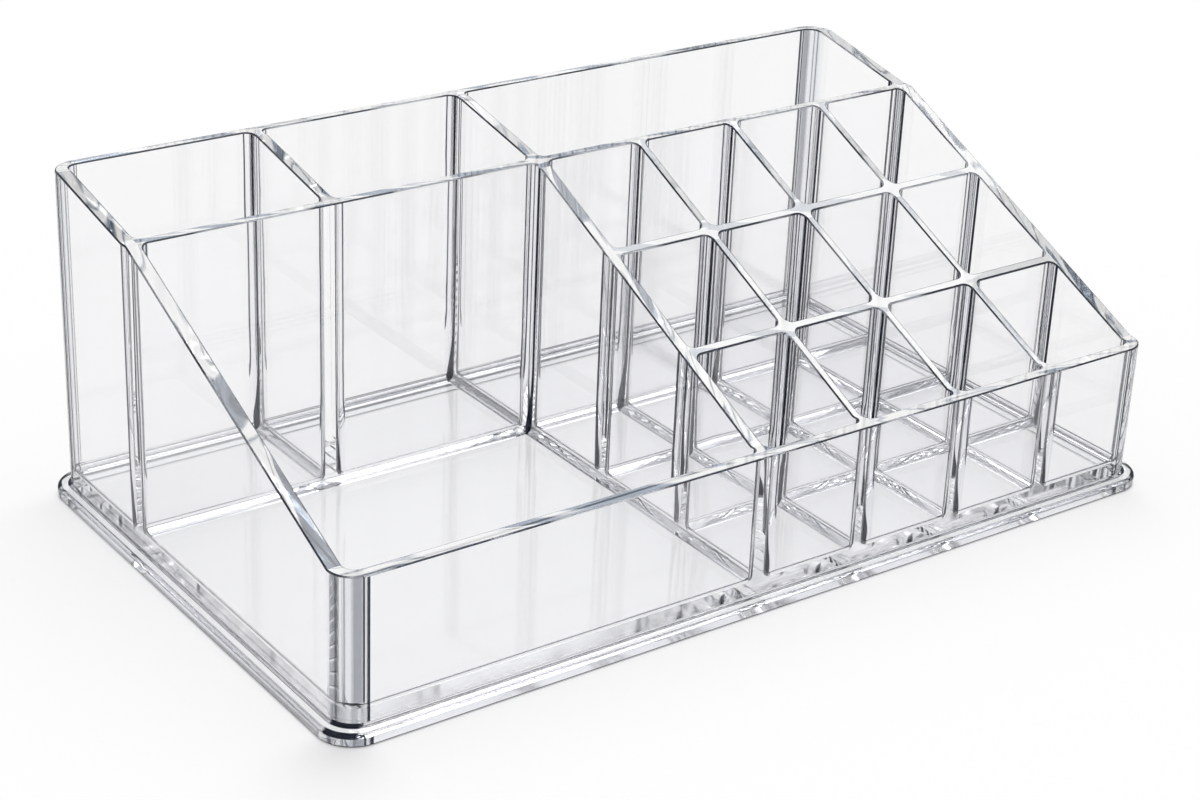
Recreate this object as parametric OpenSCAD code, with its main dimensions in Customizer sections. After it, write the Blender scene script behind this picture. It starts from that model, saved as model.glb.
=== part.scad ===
// Clear vanity organizer: a moulded base tray with bonded wall panels.
// Millimetres, +Z up, +X to the right, +Y to the back, origin under the middle of the base.

/* [Overall size] */
// Width of the walls, left to right
body_w = 231; // [200:1:260]
// Depth of the walls, front to back
body_d = 135; // [120:1:160]
// Height of the back wall above the table
back_h = 84; // [70:1:100]
// Height of the cross wall above the table
cross_h = 78; // [66:1:84]
// Height of the front wall above the table
front_h = 38.5; // [26:0.5:60]

/* [Base] */
// How far the flange stands out past the walls
flange_lip = 3; // [2:0.5:6]
// Height of the flange
flange_h = 3; // [2.5:0.5:5]
// Rounding along the flange's top edge
flange_edge_r = 1; // [0.5:0.1:2]
// Height of the compartment floors above the table
floor_z = 5.5; // [4.5:0.5:9]
// Depth of the shallow recess under the base
recess_h = 2.5; // [1:0.5:3]
// Width of the rim that the base stands on
rim_w = 6.5; // [4:0.5:10]

/* [Walls] */
// Thickness of the side walls
side_t = 3.6; // [2:0.1:4]
// Thickness of the front wall
front_t = 3.3; // [2:0.1:4]
// Thickness of the back wall
back_t = 2.6; // [2:0.1:4]
// Thickness of the cross wall
cross_t = 2.9; // [1.6:0.1:3.4]
// Thickness of the divider between tray and grid
main_t = 3.1; // [1.6:0.1:3.6]
// Thickness of the divider in the back row
back_divider_t = 3; // [1.6:0.1:3.6]
// Thickness of the walls of the grid
grid_t = 2.1; // [1.4:0.1:2.4]
// Radius of the outer vertical corners
corner_r = 6.5; // [5:0.5:12]
// Radius inside the four outer corners
inner_corner_r = 3; // [2.5:0.25:5]
// Radius of the fillets where walls meet and along the floors
fillet_r = 2; // [1:0.25:2.5]
// Radius of the fillet at the foot of the walls, on the flange
foot_r = 0.8; // [0.4:0.1:1.5]

/* [Layout] */
// Inside depth of the back row
back_row_d = 35.3; // [28:0.1:42]
// Inside width of the left compartment of the back row
back_left_w = 48; // [40:0.5:60]
// Middle of the main divider, from the middle of the body
main_x = -4.5; // [-12:0.5:6]

/* [Hidden] */
// Columns of the grid, one more than the grid dividers
columns = 4;
// Rows of the grid, one more than the grid rails
rows = 3;
// Depth that a panel's end is let into the wall it meets
housing_h = 0.5;
// Share of a crossing's height that the upper piece takes
lap_share = 0.5;
// Share of the lip that is added to the corner radius for the flange's corners
flange_corner_share = 0.7;
// Overrun of cutting shapes
over = 1;
// Facets of round shapes
round_fn = 64;

half_w = body_w / 2;
half_d = body_d / 2;
flange_r = corner_r + flange_lip * flange_corner_share;
rib_z = floor_z + fillet_r;
front_in_y = front_t - half_d;
back_in_y = half_d - back_t;
left_in_x = side_t - half_w;
right_in_x = half_w - side_t;
cross_back_y = back_in_y - back_row_d;
cross_y = cross_back_y - cross_t / 2;
cross_front_y = cross_back_y - cross_t;
front_end_y = corner_r - half_d;
back_end_y = half_d - corner_r;
main_right_x = main_x + main_t / 2;
main_left_x = main_x - main_t / 2;
back_divider_x = left_in_x + back_left_w + back_divider_t / 2;
cell_w = (right_in_x - main_right_x - (columns - 1) * grid_t) / columns;
cell_d = (cross_front_y - front_in_y - (rows - 1) * grid_t) / rows;

// Middle of grid divider number i, counted from the left
function divider_x(i) = main_right_x + i * cell_w + (i - 0.5) * grid_t;
// Middle of grid rail number i, counted from the front
function rail_y(i) = front_in_y + i * cell_d + (i - 0.5) * grid_t;
// Height of the sloping walls at depth y, between the cross wall and the front corner
function slope_z(y) = front_h + (y - front_end_y) * (cross_h - front_h) / (cross_front_y - front_end_y);
// Height at which two crossing walls change over
function lap_z(y) = rib_z + (slope_z(y) - rib_z) * (1 - lap_share);

// Space between two meeting edges and the arc that rounds them, in the first quadrant
module corner_outline(r) {
    difference() {
        square([r, r]);
        translate([r, r]) circle(r = r, $fn = round_fn);
    }
}

// Quarter of a disc, in the first quadrant
module quarter_disc(r) {
    intersection() {
        square([r, r]);
        circle(r = r, $fn = round_fn);
    }
}

// Rectangle with its own radius at each corner: front left, front right, back left, back right
module rounded_outline(x0, x1, y0, y1, radii) {
    difference() {
        translate([x0, y0]) square([x1 - x0, y1 - y0]);
        if (radii[0] > 0) translate([x0, y0]) corner_outline(radii[0]);
        if (radii[1] > 0) translate([x1, y0]) mirror([1, 0]) corner_outline(radii[1]);
        if (radii[2] > 0) translate([x0, y1]) mirror([0, 1]) corner_outline(radii[2]);
        if (radii[3] > 0) translate([x1, y1]) mirror([1, 0]) mirror([0, 1]) corner_outline(radii[3]);
    }
}

// Centred rectangle with one radius at all corners
module plate_outline(w, d, r) {
    rounded_outline(-w / 2, w / 2, -d / 2, d / 2, [r, r, r, r]);
}

// Sweep of an edge profile around a centred rounded rectangle; the profile's x is measured outwards
module swept_round(w, d, r) {
    for (sx = [0, 1]) {
        mirror([sx, 0, 0])
            translate([w / 2, d / 2 - r, 0])
                rotate([90, 0, 0]) linear_extrude(d - 2 * r) children();
        mirror([0, sx, 0])
            translate([r - w / 2, d / 2, 0])
                rotate([90, 0, 90]) linear_extrude(w - 2 * r) children();
    }
    for (sx = [-1, 1], sy = [-1, 1]) {
        translate([sx * (w / 2 - r), sy * (d / 2 - r), 0])
            rotate_extrude($fn = round_fn) translate([r, 0]) children();
    }
}

// Wall outline along +Y from 0 to len, with a flared foot at each asked end
module wall_outline(t, len, flare_start, flare_end) {
    translate([-t / 2, 0]) square([t, len]);
    for (sx = [0, 1]) {
        mirror([sx, 0]) {
            if (flare_start) {
                translate([t / 2, 0]) corner_outline(fillet_r);
            }
            if (flare_end) {
                translate([t / 2, len]) mirror([0, 1]) corner_outline(fillet_r);
            }
        }
    }
    if (flare_start) {
        translate([-t / 2 - fillet_r, -housing_h]) square([t + 2 * fillet_r, housing_h]);
    }
    if (flare_end) {
        translate([-t / 2 - fillet_r, len]) square([t + 2 * fillet_r, housing_h]);
    }
}

// Outline of a crossing of two walls with four fillets; ta is the thickness across x
module cross_outline(ta, tb) {
    translate([-ta / 2, -tb / 2 - fillet_r]) square([ta, tb + 2 * fillet_r]);
    translate([-ta / 2 - fillet_r, -tb / 2]) square([ta + 2 * fillet_r, tb]);
    for (sx = [0, 1], sy = [0, 1]) {
        mirror([sx, 0]) mirror([0, sy]) translate([ta / 2, tb / 2]) corner_outline(fillet_r);
    }
}

// Everything under the line of the wall tops, wider than the body
module under_tops() {
    rotate([90, 0, 90])
        translate([0, 0, -half_w - over])
            linear_extrude(body_w + 2 * over)
                polygon([
                    [-half_d - over, rib_z],
                    [-half_d - over, front_h],
                    [front_end_y, front_h],
                    [cross_front_y, cross_h],
                    [cross_back_y, cross_h],
                    [back_end_y, back_h],
                    [half_d + over, back_h],
                    [half_d + over, rib_z]
                ]);
}

// Upright prism from z0 up to z1 of the child outline
module upright(z0, z1) {
    translate([0, 0, z0]) linear_extrude(z1 - z0) children();
}

// Wall piece: the child outline from the ribs up to the sloping line of tops
module wall() {
    intersection() {
        upright(rib_z, back_h + over) children();
        under_tops();
    }
}

// Slot for the flared end of a panel that is let in at a face; opens up and stops at the ribs
module housing(t) {
    translate([-t / 2 - fillet_r, -housing_h, rib_z - over])
        cube([t + 2 * fillet_r, housing_h + over, back_h]);
}

// Rounded floor corner of a hollow: an upright corner of radius r on a cove of radius fillet_r
module cove_corner(r) {
    if (r > fillet_r) {
        rotate_extrude($fn = round_fn)
            intersection() {
                translate([r - fillet_r, 0]) circle(r = fillet_r, $fn = round_fn);
                translate([0, -fillet_r]) square([r, 2 * fillet_r]);
            }
    } else {
        sphere(r = fillet_r, $fn = round_fn);
    }
}

// Hollow of one compartment: rounded upright corners and a cove all around the floor
module coved_hollow(x0, x1, y0, y1, radii) {
    f = fillet_r;
    translate([0, 0, floor_z]) {
        upright(f, 2 * f + over) rounded_outline(x0, x1, y0, y1, radii);
        upright(0, 2 * f)
            rounded_outline(x0 + f, x1 - f, y0 + f, y1 - f,
                            [radii[0] - f, radii[1] - f, radii[2] - f, radii[3] - f]);
        translate([x0 + radii[0], y0 + f, f])
            rotate([0, 90, 0]) cylinder(r = f, h = x1 - x0 - radii[0] - radii[1], $fn = round_fn);
        translate([x0 + radii[2], y1 - f, f])
            rotate([0, 90, 0]) cylinder(r = f, h = x1 - x0 - radii[2] - radii[3], $fn = round_fn);
        translate([x0 + f, y0 + radii[0], f])
            rotate([-90, 0, 0]) cylinder(r = f, h = y1 - y0 - radii[0] - radii[2], $fn = round_fn);
        translate([x1 - f, y0 + radii[1], f])
            rotate([-90, 0, 0]) cylinder(r = f, h = y1 - y0 - radii[1] - radii[3], $fn = round_fn);
        translate([x0 + radii[0], y0 + radii[0], f]) cove_corner(radii[0]);
        translate([x1 - radii[1], y0 + radii[1], f]) cove_corner(radii[1]);
        translate([x0 + radii[2], y1 - radii[2], f]) cove_corner(radii[2]);
        translate([x1 - radii[3], y1 - radii[3], f]) cove_corner(radii[3]);
    }
}

// Flange with its rounded top edge
module flange() {
    w = body_w + 2 * flange_lip;
    d = body_d + 2 * flange_lip;
    inset = 2 * flange_edge_r;
    straight_h = flange_h - flange_edge_r;
    upright(0, straight_h) plate_outline(w, d, flange_r);
    upright(straight_h, flange_h) plate_outline(w - inset, d - inset, flange_r - flange_edge_r);
    translate([0, 0, straight_h])
        swept_round(w - inset, d - inset, flange_r - flange_edge_r) quarter_disc(flange_edge_r);
}

// Low block that carries the walls, with a fillet at its foot
module plinth() {
    upright(flange_h - over, rib_z) plate_outline(body_w, body_d, corner_r);
    translate([0, 0, flange_h]) swept_round(body_w, body_d, corner_r) corner_outline(foot_r);
}

// Inner radii of a compartment: true where a corner is one of the body's own corners
function hollow_radii(at) = [for (outer = at) outer ? inner_corner_r : fillet_r];

module base_tray() {
    rim_inset = 2 * (flange_lip - rim_w);
    color("#e9ecf2")
        difference() {
            union() {
                flange();
                plinth();
            }
            upright(-over, recess_h) plate_outline(body_w + rim_inset, body_d + rim_inset, inner_corner_r);
            coved_hollow(left_in_x, back_divider_x - back_divider_t / 2, cross_back_y, back_in_y,
                         hollow_radii([false, false, true, false]));
            coved_hollow(back_divider_x + back_divider_t / 2, main_left_x, cross_back_y, back_in_y,
                         hollow_radii([false, false, false, false]));
            coved_hollow(main_right_x, right_in_x, cross_back_y, back_in_y,
                         hollow_radii([false, false, false, true]));
            coved_hollow(left_in_x, main_left_x, front_in_y, cross_front_y,
                         hollow_radii([true, false, false, false]));
            for (i = [1:columns], j = [1:rows]) {
                coved_hollow(divider_x(i) - cell_w - grid_t / 2, divider_x(i) - grid_t / 2,
                             rail_y(j) - cell_d - grid_t / 2, rail_y(j) - grid_t / 2,
                             hollow_radii([false, i == columns && j == 1, false, false]));
            }
        }
}

// Outline of the front wall with its two rounded corners; the back wall is its mirror image
module end_wall_outline(t) {
    difference() {
        rounded_outline(-half_w, half_w, -half_d, corner_r - half_d, [corner_r, corner_r, 0, 0]);
        rounded_outline(left_in_x, right_in_x, t - half_d, corner_r + over - half_d,
                        [inner_corner_r, inner_corner_r, 0, 0]);
    }
}

module front_panel() {
    color("#f2f4f8")
        difference() {
            wall() end_wall_outline(front_t);
            translate([main_x, front_in_y]) housing(main_t);
            for (i = [1:columns - 1]) {
                translate([divider_x(i), front_in_y]) housing(grid_t);
            }
        }
}

module back_panel() {
    color("#f2f4f8")
        difference() {
            wall() mirror([0, 1]) end_wall_outline(back_t);
            translate([main_x, back_in_y]) mirror([0, 1]) housing(main_t);
            translate([back_divider_x, back_in_y]) mirror([0, 1]) housing(back_divider_t);
        }
}

module left_side_panel() {
    color("#f6f7fa")
        difference() {
            wall() translate([-half_w, front_end_y]) square([side_t, back_end_y - front_end_y]);
            translate([left_in_x, cross_y]) rotate([0, 0, -90]) housing(cross_t);
        }
}

module right_side_panel() {
    color("#f6f7fa")
        difference() {
            wall() translate([right_in_x, front_end_y]) square([side_t, back_end_y - front_end_y]);
            translate([right_in_x, cross_y]) rotate([0, 0, 90]) housing(cross_t);
            for (j = [1:rows - 1]) {
                translate([right_in_x, rail_y(j)]) rotate([0, 0, 90]) housing(grid_t);
            }
        }
}

// Space of a crossing's arms below (from the ribs) or above the change-over height
module crossing_space(ta, tb, z0, z1) {
    upright(z0, z1)
        translate([-ta / 2 - fillet_r, -tb / 2 - fillet_r]) square([ta + 2 * fillet_r, tb + 2 * fillet_r]);
}

module cross_panel() {
    z = lap_z(cross_front_y);
    color("#eceff5")
        difference() {
            union() {
                difference() {
                    wall()
                        translate([left_in_x, cross_y])
                            rotate([0, 0, -90]) wall_outline(cross_t, right_in_x - left_in_x, true, true);
                    translate([main_x, cross_y]) crossing_space(main_t, cross_t, rib_z - over, z);
                }
                intersection() {
                    wall() translate([main_x, cross_y]) cross_outline(main_t, cross_t);
                    translate([main_x, cross_y]) crossing_space(main_t, cross_t, z, back_h);
                }
            }
            translate([back_divider_x, cross_back_y]) housing(back_divider_t);
            for (i = [1:columns - 1]) {
                translate([divider_x(i), cross_front_y]) mirror([0, 1]) housing(grid_t);
            }
        }
}

module main_divider() {
    z = lap_z(cross_front_y);
    color("#eceff5")
        difference() {
            union() {
                difference() {
                    wall()
                        translate([main_x, front_in_y])
                            wall_outline(main_t, back_in_y - front_in_y, true, true);
                    translate([main_x, cross_y]) crossing_space(main_t, cross_t, z, back_h + over);
                }
                intersection() {
                    wall() translate([main_x, cross_y]) cross_outline(main_t, cross_t);
                    translate([main_x, cross_y]) crossing_space(main_t, cross_t, rib_z - over, z);
                }
            }
            for (j = [1:rows - 1]) {
                translate([main_right_x, rail_y(j)]) rotate([0, 0, -90]) housing(grid_t);
            }
        }
}

module back_divider() {
    color("#eceff5")
        wall() translate([back_divider_x, cross_back_y]) wall_outline(back_divider_t, back_row_d, true, true);
}

module grid_divider(i) {
    color("#e4e8f0")
        union() {
            difference() {
                wall()
                    translate([divider_x(i), front_in_y])
                        wall_outline(grid_t, cross_front_y - front_in_y, true, true);
                for (j = [1:rows - 1]) {
                    translate([divider_x(i), rail_y(j)])
                        crossing_space(grid_t, grid_t, lap_z(rail_y(j)), back_h + over);
                }
            }
            for (j = [1:rows - 1]) {
                translate([divider_x(i), rail_y(j)])
                    upright(rib_z, lap_z(rail_y(j))) cross_outline(grid_t, grid_t);
            }
        }
}

module grid_rail(j) {
    z = lap_z(rail_y(j));
    color("#e4e8f0")
        union() {
            difference() {
                wall()
                    translate([main_right_x, rail_y(j)])
                        rotate([0, 0, -90]) wall_outline(grid_t, right_in_x - main_right_x, true, true);
                for (i = [1:columns - 1]) {
                    translate([divider_x(i), rail_y(j)]) crossing_space(grid_t, grid_t, rib_z - over, z);
                }
            }
            for (i = [1:columns - 1]) {
                intersection() {
                    wall() translate([divider_x(i), rail_y(j)]) cross_outline(grid_t, grid_t);
                    translate([divider_x(i), rail_y(j)]) crossing_space(grid_t, grid_t, z, back_h);
                }
            }
        }
}

module grid_divider_left() {
    grid_divider(1);
}

module grid_divider_middle() {
    grid_divider(2);
}

module grid_divider_right() {
    grid_divider(3);
}

module grid_rail_front() {
    grid_rail(1);
}

module grid_rail_back() {
    grid_rail(2);
}

base_tray();
front_panel();
back_panel();
left_side_panel();
right_side_panel();
cross_panel();
main_divider();
back_divider();
grid_divider_left();
grid_divider_middle();
grid_divider_right();
grid_rail_front();
grid_rail_back();
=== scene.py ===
"""Looks of the clear vanity organizer, in metres and in the frame of the CAD model.

Each CAD node becomes a piece of clear plastic with softly rounded edges. The faces that are bonded to
each other don't show, so the pieces render as one moulding. Painted lines along the rounds stand for the
dark parts of a studio that such plastic bends into view: they are painted reflections, and painted
shade where they are dark. They follow the direction that a surface faces and its place on the
organizer. Painted streaks along the wall tops add painted highlights and painted reflections. It stands
on a plain pale floor in soft studio light.
"""

import math

import bmesh
import bpy
from mathutils import Matrix, Vector
from mathutils.bvhtree import BVHTree


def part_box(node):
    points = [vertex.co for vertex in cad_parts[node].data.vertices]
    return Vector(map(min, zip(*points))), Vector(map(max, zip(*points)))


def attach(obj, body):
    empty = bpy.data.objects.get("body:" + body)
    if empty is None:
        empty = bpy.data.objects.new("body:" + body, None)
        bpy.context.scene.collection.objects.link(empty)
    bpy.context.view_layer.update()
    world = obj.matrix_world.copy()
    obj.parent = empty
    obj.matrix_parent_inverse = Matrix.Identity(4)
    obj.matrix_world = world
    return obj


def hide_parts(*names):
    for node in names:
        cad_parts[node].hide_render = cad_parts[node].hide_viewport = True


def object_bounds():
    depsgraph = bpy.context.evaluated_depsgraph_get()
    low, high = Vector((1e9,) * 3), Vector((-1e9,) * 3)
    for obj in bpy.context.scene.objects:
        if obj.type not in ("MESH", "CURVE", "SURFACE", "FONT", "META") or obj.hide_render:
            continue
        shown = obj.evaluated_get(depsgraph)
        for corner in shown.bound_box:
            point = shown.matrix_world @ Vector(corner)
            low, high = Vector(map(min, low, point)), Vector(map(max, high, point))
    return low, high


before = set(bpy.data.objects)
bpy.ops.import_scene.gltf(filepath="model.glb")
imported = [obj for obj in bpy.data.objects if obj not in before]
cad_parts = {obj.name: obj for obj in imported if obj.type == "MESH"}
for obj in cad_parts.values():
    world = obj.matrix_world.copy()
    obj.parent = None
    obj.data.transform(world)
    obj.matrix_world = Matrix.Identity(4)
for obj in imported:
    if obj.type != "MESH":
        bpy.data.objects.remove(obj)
CAD_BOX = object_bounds()

MM = 0.001


def band(start, end, colour):
    """The two stops of a ramp between which the colour stays the same."""
    return (start, colour), (end, colour)


# Faces and edges of the CAD meshes
MERGE = 0.001 * MM
FLAT_ANGLE = math.radians(0.3)
SMOOTH_ANGLE = math.radians(32)
SHARP_ANGLE = math.radians(40)
SEAM_GAP = 0.005 * MM
SEAM_FACING = -0.999
SEAM_SAMPLES = 5
EDGE_ROUND = 0.34 * MM
EDGE_SEGMENTS = 3
ROUND_PROFILE = 0.5
NORMAL_WEIGHT = 50

# What tells the kinds of faces apart. A fillet's facets are narrower than an outer corner's. The area
# lies between that of the small tops where walls cross and that of the level ends of the side walls.
FILLET_FACET = 0.35 * MM
CORNER_FACET = 1.3 * MM
SMALL_TOP = 8.8 * MM * MM
TOP_ABOVE = 20 * MM
TOP_FACING = 0.5
FLOOR_ABOVE = 4 * MM
LEVEL_FACING = 0.99
FOOT_BELOW = 1.5 * MM

# Slots of a piece's materials
CLEAR, SEAM, EDGE, ROUND, CORNER, TOP, FLOOR, FOOT = range(8)
OUTER_PANELS = ("front_panel", "back_panel", "left_side_panel", "right_side_panel")
GRID_PREFIX = "grid"

# Plastic
IOR = 1.55
TINT = (0.986, 0.986, 0.99, 1)
# The outer panels are tinted darker than the inner walls, which are the same plastic: painted shade.
OUTER_TINT = (0.968, 0.968, 0.974, 1)
# Near black of the painted dark lines along rounded edges and at the foot: painted reflection and painted
# shade.
PAINTED_LINE_DARK = (0.004, 0.006, 0.011, 1)
# Colour of a dark diffuse surface mixed into the plastic: painted shade. The shares below say how much of
# it each kind of face gets where its painted lines are dark.
PAINTED_SHADE = (0.012, 0.016, 0.026, 1)
FILLET_PAINTED_SHADE = 0.8
CORNER_PAINTED_SHADE = 0.85
EDGE_PAINTED_SHADE = 0.35
FOOT_PAINTED_SHADE = 0.85
ROUGH = (0.0, 0.012)
FLOOR_ROUGH = (0.04, 0.07)
RIPPLE_SCALE = 22.0
RIPPLE_DETAIL = 1.5
RIPPLE_STRENGTH = 0.01
RIPPLE_DEPTH = 0.4 * MM

# What lamp light keeps on its way through a surface
LAMP_TINT = (0.99, 0.99, 0.992, 1)
ROUND_LAMP_TINT = (0.85, 0.855, 0.865, 1)
OUTER_LAMP_TINT = (0.945, 0.947, 0.952, 1)
OUTER_ROUND_LAMP_TINT = (0.5, 0.505, 0.515, 1)
FOOT_LAMP_TINT = (0.3, 0.305, 0.31, 1)

# Tints that the painted reflection lines are made of
WHITE = (1, 1, 1, 1)
PALE = (0.98, 0.985, 1, 1)
WATER = (0.98, 0.98, 0.99, 1)
ICE = (0.98, 0.98, 1, 1)
SOFT = (0.95, 0.96, 0.98, 1)
MILK = (0.97, 0.975, 0.99, 1)
HAZE = (0.9, 0.92, 0.95, 1)
DUSK = (0.6, 0.62, 0.66, 1)

# Painted reflection lines across an upright fillet, by share of its quarter turn from facing along X to
# along Y
UPRIGHT_STOPS = (
    *band(0.0, 0.04, WATER),
    *band(0.06, 0.24, (0.008, 0.01, 0.017, 1)),
    *band(0.26, 0.78, PALE),
    *band(0.8, 0.9, (0.12, 0.14, 0.19, 1)),
    (0.92, PALE),
    (1.0, ICE),
)

# Painted reflection lines across a level round, by how far it faces halfway between level and upright
LEVEL_STOPS = (
    (0.0, WATER),
    (0.36, PALE),
    *band(0.38, 0.54, (0.03, 0.04, 0.065, 1)),
    (0.56, PALE),
    (1.0, (0.99, 0.99, 1, 1)),
)

# Painted reflection beads where rounds meet, by how evenly the surface faces along all three axes
BEAD_STOPS = (
    (0.0, WATER),
    (0.42, SOFT),
    *band(0.46, 0.6, (0.01, 0.014, 0.022, 1)),
    (0.64, SOFT),
    (1.0, ICE),
)

# Painted reflection lines across the outer corners, by share of a full turn from facing to the right
CORNER_STOPS = (
    (0.0, DUSK),
    (0.02, PALE),
    *band(0.25, 0.32, MILK),
    *band(0.33, 0.345, (0.3, 0.33, 0.38, 1)),
    (0.355, PALE),
    (0.4, HAZE),
    *band(0.41, 0.44, (0.02, 0.026, 0.04, 1)),
    *band(0.448, 0.476, PALE),
    *band(0.48, 0.49, (0.25, 0.28, 0.34, 1)),
    (0.5, PALE),
    (0.555, HAZE),
    (0.565, (0.3, 0.36, 0.46, 1)),
    *band(0.58, 0.645, PALE),
    *band(0.655, 0.72, (0.72, 0.74, 0.78, 1)),
    (0.727, MILK),
    *band(0.738, 0.752, (0.05, 0.06, 0.08, 1)),
    (0.765, PALE),
    (0.885, SOFT),
    *band(0.895, 0.92, (0.03, 0.036, 0.05, 1)),
    (0.93, MILK),
    (1.0, DUSK),
)

# Dark and light stretches of a rounded edge: painted reflection
EDGE_PATCHES = 55.0
EDGE_STOPS = (*band(0.0, 0.52, PAINTED_LINE_DARK), *band(0.64, 1.0, (0.45, 0.48, 0.54, 1)))

# Painted streaks along the tops of the walls: painted highlights where white, painted reflection where
# dark. The darkest let the most light through, the white ones the least.
TOP_STREAKS = 300.0
TOP_STRETCH = 0.14
TOP_SKEW = 0.25
TOP_DARKEST = 0.14
TOP_CLEAR = (0.9, 0.35)
TOP_STOPS = (
    (0.0, (TOP_DARKEST, 0.18, 0.26, 1)),
    (0.38, (0.24, 0.3, 0.4, 1)),
    (0.43, WHITE),
    (0.55, (1, 0.985, 0.965, 1)),
    (0.59, (0.45, 0.5, 0.58, 1)),
    *band(0.63, 1.0, WHITE),
)
THIN_TOP_STOPS = (
    (0.0, (0.66, 0.7, 0.76, 1)),
    (0.4, (0.72, 0.76, 0.82, 1)),
    *band(0.45, 1.0, WHITE),
)

# Waver of the lines and their spread towards the foot, by height
NOISE_MIDDLE = 0.5
FLOW_SCALE = 70.0
FLOW_DETAIL = 1.0
FLOW_HEIGHTS = (10 * MM, 30 * MM)
FLOW_SWINGS = (0.9, 0.12)
FLARE_HEIGHTS = (8 * MM, 26 * MM)
FLARE_TURNS = (0.35, 1.0)

# Slow patches in which the lines of level rounds fade, on the rounds within the outer walls
FADE_SCALE = 26.0
FADE_BAND = (0.4, 0.6)
FADE_SHARES = (0.0, 0.8)
FADE_ABOVE = 4.5 * MM
FADE_INSET = 10.5 * MM
FADE_SIDE = CAD_BOX[1][0] - FADE_INSET
FADE_FRONT = CAD_BOX[0][1] + FADE_INSET

# Camera: angles, distance and focal length that fit the photograph, whose width is IMAGE_W pixels
AZIMUTH = math.radians(-36.5)
ELEVATION = math.radians(25.33)
ROLL = math.radians(2.5)
DISTANCE = 0.63524
TARGET = Vector((-0.003, 0.00059, 0.02398))
SENSOR = 36.0
FOCAL_PX = 2591.21
IMAGE_W = 1200

# Light. The room's greys are placed by how far up a ray goes: 0 is level and 1 is straight up.
AMBIENT = 0.5
ROOM_TINT = (0.93, 0.96, 1.0)
ROOM_HORIZON = ((0.0, WHITE), (0.3, (0.9, 0.9, 0.9, 1)))
ROOM_GREYS = (
    (0.56, 0.9),
    (0.61, 0.15),
    (0.68, 0.15),
    (0.72, 1.0),
    (0.8, 1.0),
    (0.84, 0.3),
    (0.88, 1.0),
    (1.0, 1.0),
)
KEY_ANGLE = math.radians(45)
KEY_STRENGTH = 1.7
KEY_FROM = Vector((0.4, 0.4, 1.0))
MAX_BOUNCES = 72
CLEAR_BOUNCES = 48
TRANSPARENT_BOUNCES = 128

# Floor
FLOOR_SIZE = 12.0
FLOOR_DROP = 0.05 * MM
FLOOR_COLOR = (0.9, 0.9, 0.9, 1)
FLOOR_GLOW = 0.127
FLOOR_GLOW_THROUGH = 0.095


class Graph:
    """Nodes of a material or a world. An input takes a socket to link from, or a value."""

    def __init__(self, owner):
        owner.use_nodes = True
        self.nodes = owner.node_tree.nodes
        self.links = owner.node_tree.links
        self.nodes.clear()

    def node(self, kind, inputs):
        """A new node. Inputs are given by name or by number."""
        node = self.nodes.new("ShaderNode" + kind)
        for socket, value in inputs.items():
            if isinstance(value, bpy.types.NodeSocket):
                self.links.new(value, node.inputs[socket])
            else:
                node.inputs[socket].default_value = value
        return node

    def math(self, operation, *values):
        node = self.node("Math", dict(enumerate(values)))
        node.operation = operation
        return node.outputs["Value"]

    def vector_math(self, operation, *values):
        node = self.node("VectorMath", dict(enumerate(values)))
        node.operation = operation
        return node.outputs["Vector"]

    def axes(self, vector):
        """The parts of a vector along X, Y and Z."""
        split = self.node("SeparateXYZ", {"Vector": vector})
        return split.outputs["X"], split.outputs["Y"], split.outputs["Z"]

    def place(self):
        """Place on the organizer."""
        return self.node("TexCoord", {}).outputs["Object"]

    def noise(self, vector, scale, detail=0.0):
        """Slow random swing around NOISE_MIDDLE."""
        return self.node("TexNoise", {"Vector": vector, "Scale": scale, "Detail": detail}).outputs["Fac"]

    def ranged(self, value, source, target, kind="LINEAR"):
        """The value, brought from the source range to the target range."""
        ends = {"From Min": source[0], "From Max": source[1], "To Min": target[0], "To Max": target[1]}
        node = self.node("MapRange", {"Value": value, **ends})
        node.interpolation_type = kind
        return node.outputs["Result"]

    def ramp(self, share, stops, kind="LINEAR"):
        """The colour at a share of the way through the stops."""
        node = self.node("ValToRGB", {"Fac": share})
        node.color_ramp.interpolation = kind
        elements = node.color_ramp.elements
        elements[0].position, elements[0].color = stops[0]
        elements[1].position, elements[1].color = stops[-1]
        for position, colour in stops[1:-1]:
            elements.new(position).color = colour
        return node.outputs["Color"]

    def either_ray(self, first, second):
        """1 for rays of either kind, otherwise 0."""
        path = self.node("LightPath", {})
        return self.math("MAXIMUM", path.outputs[first], path.outputs[second])

    def mix(self, share, first, second):
        """Mix of two shaders."""
        return self.node("MixShader", {0: share, 1: first, 2: second}).outputs["Shader"]


def face_tree(name):
    """Search tree of a CAD node's faces, to find what lies against them."""
    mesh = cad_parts[name].data
    vertices = [v.co.copy() for v in mesh.vertices]
    polygons = [tuple(p.vertices) for p in mesh.polygons]
    return BVHTree.FromPolygons(vertices, polygons)


def sample_points(bm):
    """The middles of the largest triangles of each face, by face index."""
    triangles = {}
    for loops in bm.calc_loop_triangles():
        a, b, c = (loop.vert.co for loop in loops)
        area = (b - a).cross(c - a).length
        triangles.setdefault(loops[0].face.index, []).append((area, (a + b + c) / 3))
    return {
        index: [point for _, point in sorted(found, key=lambda t: -t[0])[:SEAM_SAMPLES]]
        for index, found in triangles.items()
    }


def is_seam(normal, points, others):
    """True if most of the face lies against faces of other pieces."""
    touching = 0
    for point in points:
        hits = (tree.find_nearest(point, SEAM_GAP) for tree in others)
        touching += any(h[0] is not None and h[1].dot(normal) < SEAM_FACING for h in hits)
    return 2 * touching > len(points)


def is_top(face):
    """True for the top of a wall, level or sloping."""
    return face.normal.z > TOP_FACING and face.calc_center_median().z > TOP_ABOVE


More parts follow.
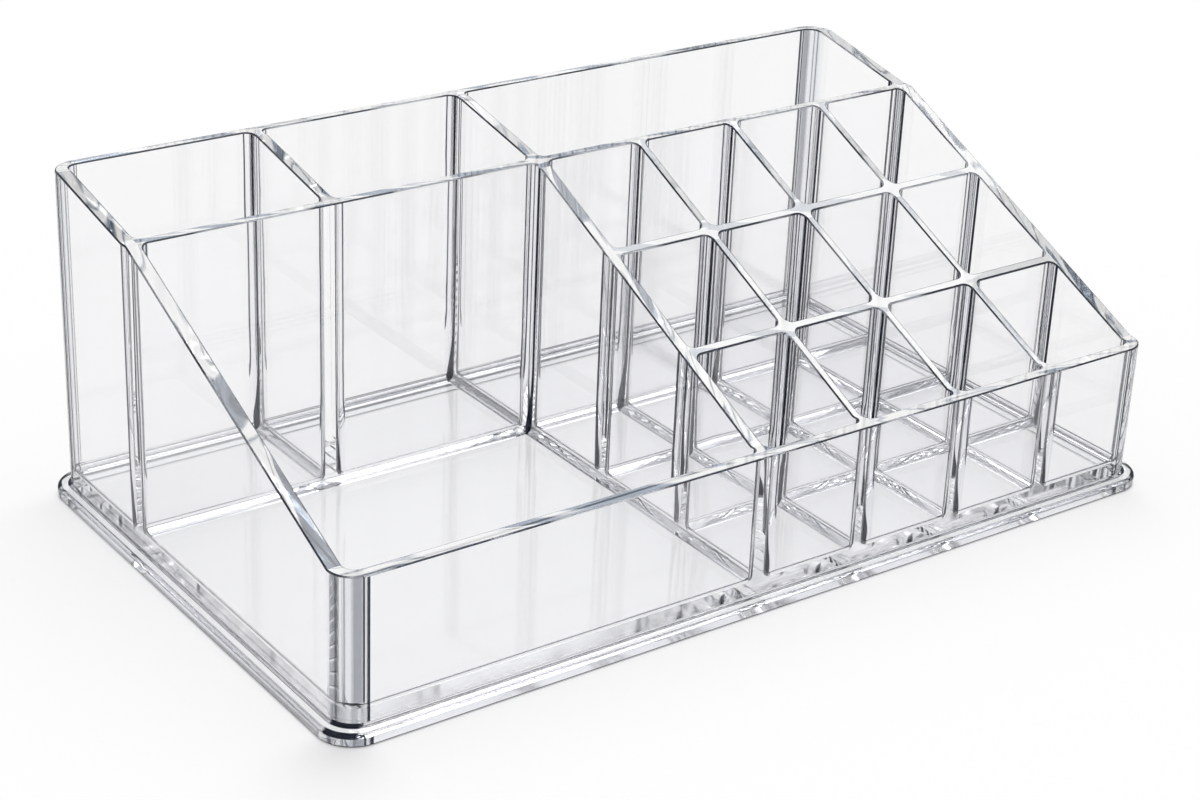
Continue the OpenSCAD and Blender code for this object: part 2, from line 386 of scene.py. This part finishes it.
def is_floor(face):
    """True for a compartment's floor and for the underside, but not for the flange's top."""
    above = face.normal.z > LEVEL_FACING and face.calc_center_median().z > FLOOR_ABOVE
    return above or face.normal.z < -LEVEL_FACING


def facet_width(face):
    """Width of a strip of a round, which grows with the radius of the round."""
    return face.calc_area() / max(edge.calc_length() for edge in face.edges)


def whole_faces(mesh):
    """The mesh, with the triangles of each flat face joined."""
    bm = bmesh.new()
    bm.from_mesh(mesh)
    bmesh.ops.remove_doubles(bm, verts=bm.verts, dist=MERGE)
    bmesh.ops.dissolve_limit(bm, angle_limit=FLAT_ANGLE, verts=bm.verts, edges=bm.edges)
    bm.normal_update()
    join_small_tops(bm)
    bm.normal_update()
    bm.faces.index_update()
    return bm


def join_small_tops(bm):
    """Makes the small top faces where walls cross one face with the wall top they belong to."""
    creases = [
        edge
        for edge in bm.edges
        if len(edge.link_faces) == 2
        and all(is_top(face) for face in edge.link_faces)
        and min(face.calc_area() for face in edge.link_faces) < SMALL_TOP
    ]
    bmesh.ops.dissolve_edges(bm, edges=creases, use_verts=False, use_face_split=False)


def mark_seams(bm, others):
    """Marks the faces that are bonded to other pieces as seams, and all others as clear."""
    points = sample_points(bm)
    for face in bm.faces:
        face.material_index = SEAM if is_seam(face.normal, points[face.index], others) else CLEAR


def round_edges(bm):
    """Rounds the sharp outer edges, save those of seams."""
    sharp = [
        edge
        for edge in bm.edges
        if len(edge.link_faces) == 2
        and edge.is_convex
        and edge.calc_face_angle() > SHARP_ANGLE
        and not any(face.material_index == SEAM for face in edge.link_faces)
    ]
    bmesh.ops.bevel(
        bm,
        geom=sharp,
        offset=EDGE_ROUND,
        segments=EDGE_SEGMENTS,
        profile=ROUND_PROFILE,
        affect="EDGES",
        clamp_overlap=False,
        material=EDGE,
    )


def is_curved(face):
    """True for a facet of a round: it is narrow, and bends gently into a neighbour that is no seam."""
    bends = [
        edge.calc_face_angle()
        for edge in face.edges
        if len(edge.link_faces) == 2 and not any(f.material_index == SEAM for f in edge.link_faces)
    ]
    return any(FLAT_ANGLE < bend < SMOOTH_ANGLE for bend in bends) and facet_width(face) < CORNER_FACET


def mark_kinds(bm):
    """Marks the rounded edges at the foot, and sorts the clear faces into kinds."""
    for face in bm.faces:
        face.smooth = True
        if face.material_index == EDGE and face.calc_center_median().z < FOOT_BELOW:
            face.material_index = FOOT
        if face.material_index != CLEAR:
            continue
        if is_top(face):
            face.material_index = TOP
        elif is_curved(face):
            face.material_index = ROUND if facet_width(face) < FILLET_FACET else CORNER
        elif is_floor(face):
            face.material_index = FLOOR


def rounded_piece(name, trees):
    """A copy of a CAD node with whole flat faces, rounded edges and every face marked by its kind."""
    bm = whole_faces(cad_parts[name].data)
    mark_seams(bm, [tree for other, tree in trees.items() if other != name])
    round_edges(bm)
    mark_kinds(bm)
    mesh = bpy.data.meshes.new(name + "_clear")
    bm.to_mesh(mesh)
    bm.free()
    mesh.set_sharp_from_angle(angle=SMOOTH_ANGLE)
    piece = bpy.data.objects.new(name + "_clear", mesh)
    bpy.context.scene.collection.objects.link(piece)
    weighted = piece.modifiers.new("face weighted normals", "WEIGHTED_NORMAL")
    weighted.keep_sharp = True
    weighted.weight = NORMAL_WEIGHT
    return piece


def normal_axes(graph):
    """The parts of the surface's normal along X, Y and Z."""
    return graph.axes(graph.node("NewGeometry", {}).outputs["Normal"])


def line_waver(graph):
    """Factor near 1 that makes lines along a round waver, the most near the foot of the walls."""
    place = graph.place()
    swing = graph.ranged(graph.axes(place)[2], FLOW_HEIGHTS, FLOW_SWINGS, "SMOOTHSTEP")
    centred = graph.math("SUBTRACT", graph.noise(place, FLOW_SCALE, FLOW_DETAIL), NOISE_MIDDLE)
    return graph.math("ADD", graph.math("MULTIPLY", centred, swing), 1.0)


def foot_flare(graph):
    """Factor on the turn of an upright round: its lines spread out towards the foot."""
    height = graph.axes(graph.place())[2]
    return graph.ranged(height, FLARE_HEIGHTS, FLARE_TURNS, "SMOOTHSTEP")


def fade_share(graph):
    """Share by which the lines of level rounds fade, in patches, save along the outer walls and below."""
    place = graph.place()
    x, y, z = graph.axes(place)
    patches = graph.ranged(graph.noise(place, FADE_SCALE), FADE_BAND, FADE_SHARES)
    above = graph.math("GREATER_THAN", z, FADE_ABOVE)
    within = graph.math("LESS_THAN", graph.math("ABSOLUTE", x), FADE_SIDE)
    behind = graph.math("GREATER_THAN", y, FADE_FRONT)
    inside = graph.math("MULTIPLY", above, graph.math("MULTIPLY", within, behind))
    return graph.math("MULTIPLY", patches, inside)


def faded(graph, colour, share):
    """The colour, brought towards white by a share."""
    kept = graph.math("SUBTRACT", 1.0, share)
    return graph.vector_math("MULTIPLY_ADD", colour, kept, share)


def product_size(graph, first, second, greatest):
    """Size of a product of parts of the normal, as a share of the greatest that it can be."""
    size = graph.math("ABSOLUTE", graph.math("MULTIPLY", first, second))
    return graph.math("DIVIDE", size, greatest)


def level_painted_lines(graph, waver):
    """Painted reflection lines along level rounds, and painted beads where rounds meet at a foot."""
    x, y, z = normal_axes(graph)
    level_x = product_size(graph, x, z, 1 / 2)
    level_y = product_size(graph, y, z, 1 / 2)
    lines = graph.ramp(graph.math("MAXIMUM", level_x, level_y), LEVEL_STOPS)
    bead = product_size(graph, graph.math("MULTIPLY", x, y), z, 1 / math.sqrt(27))
    beads = graph.ramp(graph.math("MULTIPLY", bead, waver), BEAD_STOPS)
    return graph.vector_math("MULTIPLY", faded(graph, lines, fade_share(graph)), beads)


def fillet_painted_lines(graph):
    """Painted reflection lines along the fillets: an upright one has a line near either end of its turn."""
    waver = line_waver(graph)
    x, y, _ = normal_axes(graph)
    turn = graph.math("ARCTAN2", graph.math("ABSOLUTE", y), graph.math("ABSOLUTE", x))
    share = graph.math("DIVIDE", turn, math.pi / 2)
    spread = graph.math("MULTIPLY", waver, foot_flare(graph))
    lines = graph.ramp(graph.math("MULTIPLY", share, spread), UPRIGHT_STOPS)
    return graph.vector_math("MULTIPLY", lines, level_painted_lines(graph, waver))


def corner_painted_lines(graph):
    """Painted reflection lines along the outer corners, by the direction that the surface faces."""
    x, y, _ = normal_axes(graph)
    turns = graph.math("DIVIDE", graph.math("ARCTAN2", y, x), 2 * math.pi)
    share = graph.math("FRACT", graph.math("ADD", turns, 1.0))
    lines = graph.ramp(share, CORNER_STOPS)
    return graph.vector_math("MULTIPLY", lines, level_painted_lines(graph, line_waver(graph)))


def edge_painted_lines(graph):
    """Painted dark line along an edge, a painted reflection, with lighter stretches."""
    return graph.ramp(graph.noise(graph.place(), EDGE_PATCHES), EDGE_STOPS)


def top_painted_streaks(along_y, stops):
    """Painted streaks of highlight and reflection that run along the top of a wall, which runs along Y or
    else along X.
    """
    stretch = (1, TOP_STRETCH, TOP_STRETCH) if along_y else (TOP_STRETCH, 1, TOP_STRETCH)

    def colour(graph):
        turned = graph.node("Mapping", {"Vector": graph.place(), "Rotation": (0, 0, TOP_SKEW)})
        stretched = graph.vector_math("MULTIPLY", turned.outputs["Vector"], stretch)
        return graph.ramp(graph.noise(stretched, TOP_STREAKS), stops)

    return colour


def through_lamps(graph, surface, tint):
    """The surface, which shadow and diffuse rays pass straight through, tinted."""
    lamp_ray = graph.either_ray("Is Shadow Ray", "Is Diffuse Ray")
    through = graph.node("BsdfTransparent", {"Color": tint}).outputs["BSDF"]
    return graph.mix(lamp_ray, surface, through)


def clear_plastic(name, tint, colour=None, streaked=False, dark=0.0, lamp_tint=LAMP_TINT, rough=ROUGH):
    """Clear moulded plastic, a share of which is dark, painted shade: all over, or where its painted lines
    are dark.

    Streaked plastic isn't darkened, but lets less light through where its painted streaks are light:
    painted highlights.
    """
    material = bpy.data.materials.new(name)
    graph = Graph(material)
    clear = 1.0
    if colour:
        tint = colour(graph)
        grey = graph.node("RGBToBW", {"Color": tint}).outputs["Val"]
        if streaked:
            # Where the painted streaks are light, less light goes through, which paints them as highlights.
            clear = graph.ranged(grey, (TOP_DARKEST, 1.0), TOP_CLEAR)
        else:
            # Share of the dark diffuse surface: painted shade where the painted lines are dark.
            dark = graph.math("MULTIPLY", graph.math("SUBTRACT", 1.0, grey), dark)
    ripple = graph.noise(graph.place(), RIPPLE_SCALE, RIPPLE_DETAIL)
    bump = graph.node("Bump", {"Strength": RIPPLE_STRENGTH, "Distance": RIPPLE_DEPTH, "Height": ripple})
    plastic = graph.node("BsdfPrincipled", {
        "Base Color": tint,
        "Transmission Weight": clear,
        "IOR": IOR,
        "Roughness": graph.ranged(ripple, (0.0, 1.0), rough),
        "Normal": bump.outputs["Normal"],
    })
    # Dark diffuse surface mixed into the plastic: painted shade.
    shade = graph.node("BsdfDiffuse", {"Color": PAINTED_SHADE})
    surface = graph.mix(dark, plastic.outputs["BSDF"], shade.outputs["BSDF"])
    graph.node("OutputMaterial", {"Surface": through_lamps(graph, surface, lamp_tint)})
    return material


def bonded_seam():
    """Solvent-bonded faces between two pieces: the plastic runs through, so nothing shows."""
    material = bpy.data.materials.new("bonded_seam")
    graph = Graph(material)
    through = graph.node("BsdfTransparent", {})
    graph.node("OutputMaterial", {"Surface": through.outputs["BSDF"]})
    return material


def wall_materials(group, tint, lamp_tint, round_lamp_tint, seam):
    """Materials of a group of pieces, in the order of the slots from CLEAR to CORNER."""
    rounds = {"lamp_tint": round_lamp_tint}
    return (
        clear_plastic("clear_" + group, tint, lamp_tint=lamp_tint),
        seam,
        # Edges, fillets and corners carry painted reflection lines and painted shade.
        clear_plastic("edge_" + group, tint, colour=edge_painted_lines, dark=EDGE_PAINTED_SHADE, **rounds),
        clear_plastic("fillet_" + group, tint, colour=fillet_painted_lines, dark=FILLET_PAINTED_SHADE, **rounds),
        clear_plastic("corner_" + group, tint, colour=corner_painted_lines, dark=CORNER_PAINTED_SHADE, **rounds),
    )


def top_materials(group, stops):
    """Materials of the tops of walls along X and along Y, with painted streaks of highlight and reflection.
    """
    return (
        clear_plastic(group + "top_x", TINT, colour=top_painted_streaks(False, stops), streaked=True),
        clear_plastic(group + "top_y", TINT, colour=top_painted_streaks(True, stops), streaked=True),
    )


def make_pieces():
    """The visible piece of each CAD node, with its materials."""
    trees = {name: face_tree(name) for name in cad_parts}
    seam = bonded_seam()
    inner = wall_materials("inner", TINT, LAMP_TINT, ROUND_LAMP_TINT, seam)
    outer = wall_materials("outer", OUTER_TINT, OUTER_LAMP_TINT, OUTER_ROUND_LAMP_TINT, seam)
    tops = top_materials("", TOP_STOPS)
    thin_tops = top_materials("thin_", THIN_TOP_STOPS)
    floor = clear_plastic("clear_floor", TINT, rough=FLOOR_ROUGH)
    # The rounded edges at the foot are painted near black: painted shade and painted reflection along the
    # foot.
    foot = clear_plastic("foot_edge", PAINTED_LINE_DARK, dark=FOOT_PAINTED_SHADE, lamp_tint=FOOT_LAMP_TINT)
    for name in sorted(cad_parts):
        piece = rounded_piece(name, trees)
        low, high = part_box(name)
        along_y = high[1] - low[1] > high[0] - low[0]
        walls = outer if name in OUTER_PANELS else inner
        top = (thin_tops if name.startswith(GRID_PREFIX) else tops)[along_y]
        for material in (*walls, top, floor, foot):
            piece.data.materials.append(material)
        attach(piece, "root")
        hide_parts(name)


def floor_glow(graph):
    """Glow strength that takes the floor to white in view, and nearly so through the plastic."""
    path = graph.node("LightPath", {})
    direct = graph.math("MULTIPLY", path.outputs["Is Camera Ray"], FLOOR_GLOW)
    bent = graph.either_ray("Is Glossy Ray", "Is Transmission Ray")
    return graph.math("ADD", direct, graph.math("MULTIPLY", bent, FLOOR_GLOW_THROUGH))


def make_floor():
    """Plain pale floor that goes to white in view and keeps the object's shadow."""
    material = bpy.data.materials.new("pale_floor")
    graph = Graph(material)
    paper = graph.node("BsdfDiffuse", {"Color": FLOOR_COLOR})
    glow = graph.node("Emission", {"Strength": floor_glow(graph)})
    total = graph.node("AddShader", {0: paper.outputs["BSDF"], 1: glow.outputs["Emission"]})
    graph.node("OutputMaterial", {"Surface": total.outputs["Shader"]})
    half = FLOOR_SIZE / 2
    corners = [(x, y, -FLOOR_DROP) for x, y in ((-half, -half), (half, -half), (half, half), (-half, half))]
    mesh = bpy.data.meshes.new("floor")
    mesh.from_pydata(corners, [], [(0, 1, 2, 3)])
    mesh.materials.append(material)
    floor = bpy.data.objects.new("floor", mesh)
    bpy.context.scene.collection.objects.link(floor)


def make_world():
    """White in view, plain ambient light, and a room with dark bands in mirrored and bent rays."""
    world = bpy.data.worlds.new("studio")
    bpy.context.scene.world = world
    graph = Graph(world)
    bands = [(share, (*(grey * part for part in ROOM_TINT), 1)) for share, grey in ROOM_GREYS]
    height = graph.axes(graph.node("TexCoord", {}).outputs["Generated"])[2]
    room_colour = graph.ramp(height, (*ROOM_HORIZON, *bands), "EASE")
    room = graph.node("Background", {"Color": room_colour})
    ambient = graph.node("Background", {"Color": WHITE, "Strength": AMBIENT})
    white = graph.node("Background", {"Color": WHITE})
    bent = graph.either_ray("Is Glossy Ray", "Is Transmission Ray")
    lit = graph.mix(bent, ambient.outputs["Background"], room.outputs["Background"])
    direct = graph.node("LightPath", {}).outputs["Is Camera Ray"]
    surface = graph.mix(direct, lit, white.outputs["Background"])
    graph.node("OutputWorld", {"Surface": surface})


def make_lamp():
    """Large soft key light from above and behind, on the right."""
    key = bpy.data.lights.new("key", "SUN")
    key.energy = KEY_STRENGTH
    key.angle = KEY_ANGLE
    lamp = bpy.data.objects.new("key", key)
    lamp.rotation_mode = "QUATERNION"
    lamp.rotation_quaternion = KEY_FROM.to_track_quat("Z", "Y")
    bpy.context.scene.collection.objects.link(lamp)


def make_camera():
    """Camera at the photograph's angle."""
    back = Vector((
        math.sin(AZIMUTH) * math.cos(ELEVATION),
        -math.cos(AZIMUTH) * math.cos(ELEVATION),
        math.sin(ELEVATION),
    ))
    level = Vector((math.cos(AZIMUTH), math.sin(AZIMUTH), 0))
    upward = back.cross(level)
    right = math.cos(ROLL) * level + math.sin(ROLL) * upward
    up = math.cos(ROLL) * upward - math.sin(ROLL) * level
    data = bpy.data.cameras.new("camera")
    data.sensor_width = SENSOR
    data.lens = SENSOR * FOCAL_PX / IMAGE_W
    camera = bpy.data.objects.new("camera", data)
    turn = Matrix((right, up, back)).transposed().to_4x4()
    camera.matrix_world = Matrix.Translation(TARGET + back * DISTANCE) @ turn
    bpy.context.scene.collection.objects.link(camera)
    bpy.context.scene.camera = camera


def set_render():
    """Plain view, and enough bounces for light to pass through all the walls."""
    scene = bpy.context.scene
    scene.view_settings.view_transform = "Standard"
    scene.cycles.max_bounces = MAX_BOUNCES
    scene.cycles.transmission_bounces = CLEAR_BOUNCES
    scene.cycles.glossy_bounces = CLEAR_BOUNCES
    scene.cycles.transparent_max_bounces = TRANSPARENT_BOUNCES
    scene.cycles.use_denoising = True


make_pieces()
make_floor()
make_world()
make_lamp()
make_camera()
set_render()
